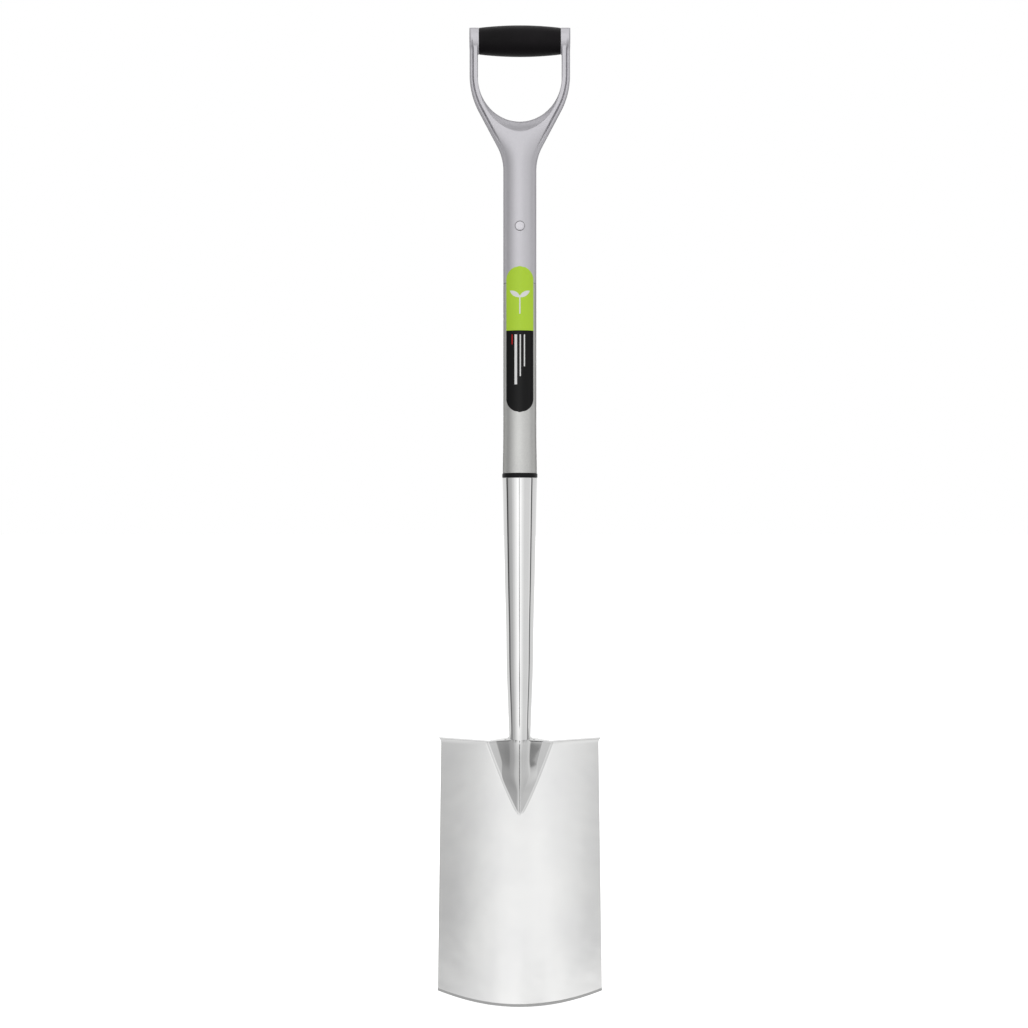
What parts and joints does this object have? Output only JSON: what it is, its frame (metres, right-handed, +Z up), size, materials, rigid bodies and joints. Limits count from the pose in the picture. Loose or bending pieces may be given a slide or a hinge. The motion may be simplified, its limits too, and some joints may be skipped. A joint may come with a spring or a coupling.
{
  "type": "garden spade",
  "caption": "Long digging spade: dished polished steel blade with folded tread and V frog, tapered socket, coated shaft, D handle with soft grip.",
  "frame": {"origin": "on the shaft's axis, level with the lowest point of the cutting edge, which is the bottom centre of the bounding box", "axes": "+Z up the shaft towards the D handle, -Y out of the blade's hollow front face, +X to the right seen from the front"},
  "size_m": [0.19, 0.0554, 1.1416],
  "materials": {
    "polished_stainless": "polished to a mirror, fine directional polishing lines",
    "tube_steel": "drawn tube, mill finish",
    "rivet_metal": "satin, domed",
    "handle_silver": "silver-grey moulding with a metallic satin face",
    "sleeve_grey": "silver-grey satin coat",
    "collar_black": "moulded, soft sheen",
    "grip_black": "fine moulded texture",
    "label_print": "printed film, green over black"
  },
  "bodies": {
    "root": {"blade": "polished_stainless", "neck_weld": "polished_stainless", "socket": "polished_stainless", "socket_rivet": "rivet_metal", "collar_ring": "collar_black", "shaft_tube": "tube_steel", "shaft_sleeve": "sleeve_grey", "handle_yoke": "handle_silver", "handle_rivet": "rivet_metal", "grip": "grip_black", "label": "label_print"}
  },
  "joints": []
}
